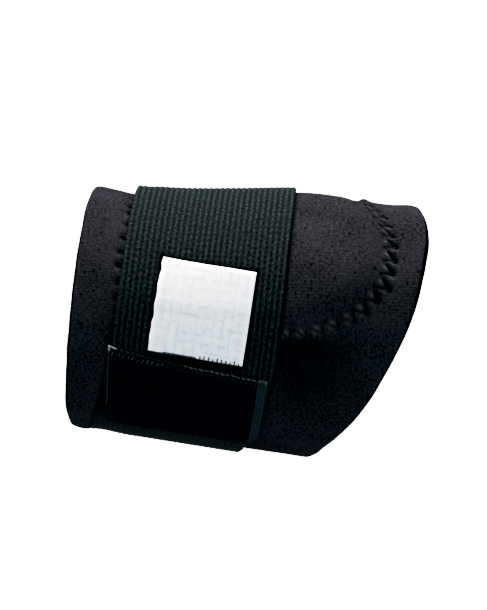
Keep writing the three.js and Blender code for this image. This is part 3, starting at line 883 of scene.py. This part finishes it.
def makeLabel():
    look = ribbonLook
    width, height = labelForm["width"], labelForm["height"]
    outside = np.linspace(-0.5, 0.5, look["columns"])
    right = np.concatenate([outside, outside[::-1]]) * width
    up = (0.5 - np.linspace(0, 1, look["rows"]))[:, None] * height
    corner = np.hypot(right + width / 2, up + height / 2)
    shape = look["ripple"] * wobble(onLabel(right, up, 0), 9, 21)
    shape = shape + look["curl"] * np.exp(-(corner / 4.5) ** 2)  # its lower wrist corner lifts
    border = np.minimum(width / 2 - np.abs(right), height / 2 - np.abs(up))
    top = look["thickness"] - 0.25 * np.exp(-(border / 0.3) ** 2)
    lift = np.where(np.arange(len(right)) < len(outside), top, 0) + shape
    frayed = look["waver"] * wobble(onLabel(-width / 2, up, 0), 2.6, 22)  # its folded sides wave a little
    grid = onLabel(right + frayed * (0.5 - right / width) ** 3, up, lift)
    uv = np.stack([right + 0 * up, up + 0 * right], axis=-1)
    uv = np.concatenate([uv, uv[:, :1]], axis=1)
    fold = np.minimum(width / 2 - np.abs(right) + 0 * up, height / 2 - up + 0 * right)
    selvedge = smoothStep(-fold, -look["selvedge"], -look["selvedge"] + 0.4)
    return loopSheet("label_ribbon", grid, uv, [labelWeave], attributes={"selvedge": selvedge})


label = makeLabel()
print("label laid")

padLook = {"edge": 1.2, "dome": 0.8, "rings": 22, "columns": 120}


def makePad():
    look = padLook
    turn = np.linspace(0, 2 * math.pi, look["columns"], endpoint=False)
    rings = np.concatenate([np.linspace(0.04, 0.97, look["rings"]), [1.0]])
    outer = -(sleeveLook["wall"] + seatGap)
    grid = []
    for ring in rings:
        x, angle = padRing(turn, ring)
        grid.append(lifted(x, angle, outer - 0.25 * (ring == 1.0) + padRise(1 - ring, x, padUpward(angle))))
    for ring in rings[::-1]:
        x, angle = padRing(turn, ring)
        under = outer - look["edge"] - look["dome"] * (1 - ring ** 2) + 0.25 * (ring == 1.0)
        grid.append(lifted(x, angle, under))
    grid = np.array(grid)
    x, angle = padRing(np.append(turn, turn[:1]), np.concatenate([rings, rings[::-1]])[:, None])
    uv = np.stack([angle * mmPerDegree, x], axis=-1)
    return loopSheet("pad_foam", grid, uv, [jersey])


pad = makePad()
print("pad filled")

tabSewing = {"thread": 0.2, "edgeStitch": 1.1, "edgeGap": 0.45, "rowInset": 1.9, "rowPitch": 1.45,
             "rowSlant": 0.45, "sideInset": 2.2, "sideLength": 22, "corner": 0.28}


def tabPoint(across, down, lift):  # both in millimetres, from the tab's wrist side and from its top edge
    top = 2 * seatGap + strapLook["thickness"] + tabLook["tape"]
    return onTab(across / tabLook["width"] - 0.5, down / tabLook["height"], top + lift)


def sewTab():
    look = tabSewing
    width = tabLook["width"]
    scatter = np.random.default_rng(3)
    t = np.linspace(0, 1, 7)
    arch = np.minimum(1, 1.6 * np.sin(math.pi * t)) * 0.3 - 0.2
    paths, shades = [], []
    for place in np.arange(0.6, width - 1, look["edgeStitch"] + look["edgeGap"]):  # edge row
        down = 0.35 + scatter.normal(0, 0.1)
        length = look["edgeStitch"] * (0.8 + 0.4 * scatter.random())
        paths.append(tabPoint(place + length * t, down + 0.25 * t, arch))
        dull, pale = 0.03 + 0.03 * scatter.random(), 0.1 + 0.16 * scatter.random()
        shades.append(dull + pale * (place > width * 0.45))
    for place in np.arange(1.4, width - 1.4, look["rowPitch"]):  # second row of short slanted stitches
        down = look["rowInset"] + scatter.normal(0, 0.16)
        length = 0.2 + 0.45 * scatter.random()
        aside = place + look["rowSlant"] * t + scatter.normal(0, 0.18)
        paths.append(tabPoint(aside, down + length * (1 - 2 * t), arch))
        shades.append(0.02 + 0.04 * scatter.random() + 0.14 * scatter.random() * (place < width * 0.36))
    # down the wrist side
    for place in np.arange(look["rowInset"] + 1, look["sideLength"], look["rowPitch"] * 1.3):
        paths.append(tabPoint(look["sideInset"] + 0 * t, place + 0.8 * t, arch))
        shades.append(0.01 + 0.03 * scatter.random())
    for place in np.arange(1.2, look["sideLength"] - 1.6, 1.75):  # close stitches along the wrist edge
        paths.append(tabPoint(0.25 + scatter.normal(0, 0.05) + 0 * t, place + 1.6 * t, 0.3 * arch + 0.05))
        shades.append(0.05 + 0.04 * scatter.random())
    edges = threadTubes("tab_stitches", paths, look["thread"], greyThread, shades)
    # both top corners are barred with a few heavier stitches
    bars = [tabPoint(right + length * t, top + drop * t, 0.1 * arch) for right, length, top, drop in (
        (0.1, 2.6, 0.1, 0.3), (0.4, 0, 0.1, 1.4), (width - 2.8, 2.5, 0.1, 0.3), (width - 0.7, 0, 0.2, 0.9))]
    corners = threadTubes("tab_corner_bars", bars, look["corner"], greyThread, [0.45, 0.9, 0.16, 0.3])
    return [edges, corners]


labelSewing = {"thread": 0.14, "pitch": 2.6, "tall": 1.7, "short": 0.6, "inset": 0.3, "plainShare": 0.42,
               "below": 2.0, "closePitch": 0.42}


def sewLabel():
    look = labelSewing
    width, height = labelForm["width"], labelForm["height"]
    scatter = np.random.default_rng(5)
    t = np.linspace(0, 1, 7)
    arch = np.minimum(1, 1.6 * np.sin(math.pi * t)) * 0.35 + ribbonLook["thickness"] - 0.1
    paths = []
    start, base = -width / 2 + width * 0.08, -height / 2 - 0.25
    plainEnd = start + width * look["plainShare"]
    for right in np.arange(start, width / 2 - 0.3, look["pitch"] / 2):
        free = right > plainEnd
        reach = (look["tall"] if free else look["short"]) * (0.45 + 0.55 * scatter.random())
        aside = scatter.normal(0, 0.12)
        paths.append(onLabel(right + aside * t, base + reach * t, arch))
    line = np.linspace(start, plainEnd, 40)
    paths.append(onLabel(line, look["inset"] - height / 2, ribbonLook["thickness"] + 0.15))
    # close stitches below the edge, on the elastic
    for right in np.arange(start, width / 2 - 0.2, look["closePitch"]):
        length = look["below"] * (0.75 + 0.25 * scatter.random())
        paths.append(onLabel(right + 0.3 * t, base + 0.4 - length * t, 0.5 * arch - 0.1))
    return threadTubes("label_zigzag", paths, look["thread"], blackThread)


tabThreads = sewTab()
labelThread = sewLabel()
print("tab and label sewn")

# hand the pieces to the frame
for piece, node, slot in (
    (sleeve, "sleeve", "jersey_foam_rubber"), (pad, "pressure_pad", "pad_foam"),
    (strap, "strap", "ribbed_elastic"), (tab, "fastening_tab", "pile_tape"),
    (label, "woven_label", "white_weave"),
):
    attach(piece, "root")
    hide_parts(node)
for piece, slot in (
    (padSeam, "jersey_foam_rubber"), (tabThreads[0], "pile_tape"), (tabThreads[1], "pile_tape"),
    (labelThread, "white_weave"),
):
    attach(piece, "root")

# studio: white surround, pale floor, one soft light overhead
studio = {
    "floorBelow": 1.0, "floorRadius": 4, "floor": "#a9acae", "surround": "#ffffff", "surroundStrength": 1.7,
    "white": 1.6, "fill": "#e4f6ff", "fillStrength": 0.9,
    "keyPower": 25, "keySize": 0.45, "keyAt": (-0.08, -0.02, 0.9), "keyColour": "#fff2f4",
    "black": (0.0054, 0.0042, 0.0044), "shoulder": ((0.05, 0.08), (0.25, 0.6), (0.42, 0.77), (0.66, 0.87)),
}


def makeStudio():
    bpy.ops.mesh.primitive_circle_add(vertices=96, radius=studio["floorRadius"], fill_type="NGON",
                                      location=(0, 0, -studio["floorBelow"]))
    floor = bpy.context.object
    floor.name = "floor"
    paper, shader = newMaterial("paleFloorPaper", Roughness=0.9)
    shader.inputs["Base Color"].default_value = hexColour(studio["floor"])
    floor.data.materials.append(paper)
    world = bpy.data.worlds.new("studio")
    scene.world = world
    world.use_nodes = True
    tree = world.node_tree
    paperWhite = tree.nodes["Background"]  # what the lens sees behind the object
    paperWhite.inputs["Color"].default_value = hexColour(studio["surround"])
    paperWhite.inputs["Strength"].default_value = studio["surroundStrength"]
    fill = addNode(tree, "Background", {"Color": studio["fill"], "Strength": studio["fillStrength"]})
    seen = addNode(tree, "LightPath", out="Is Camera Ray")
    mixed = addNode(tree, "MixShader", {0: seen, 1: fill, 2: paperWhite.outputs[0]})
    tree.links.new(mixed, tree.nodes["World Output"].inputs[0])
    key = bpy.data.lights.new("softKey", "AREA")
    key.energy = studio["keyPower"]
    key.size = studio["keySize"]
    key.color = hexColour(studio["keyColour"])[:3]
    lamp = bpy.data.objects.new("softKey", key)
    lamp.location = studio["keyAt"]
    lamp.rotation_euler = Vector(studio["keyAt"]).to_track_quat("Z", "Y").to_euler()
    lamp.visible_camera = False
    scene.collection.objects.link(lamp)
    # print-like tone: deep blacks, and a soft shoulder so that the white cloth keeps its weave
    view = scene.view_settings
    view.view_transform = "Standard"
    view.use_curve_mapping = True
    view.curve_mapping.black_level = studio["black"]
    view.curve_mapping.white_level = [studio["white"]] * 3
    for place, value in studio["shoulder"]:
        view.curve_mapping.curves[3].points.new(place, value)
    view.curve_mapping.update()


makeStudio()
print("studio lit")
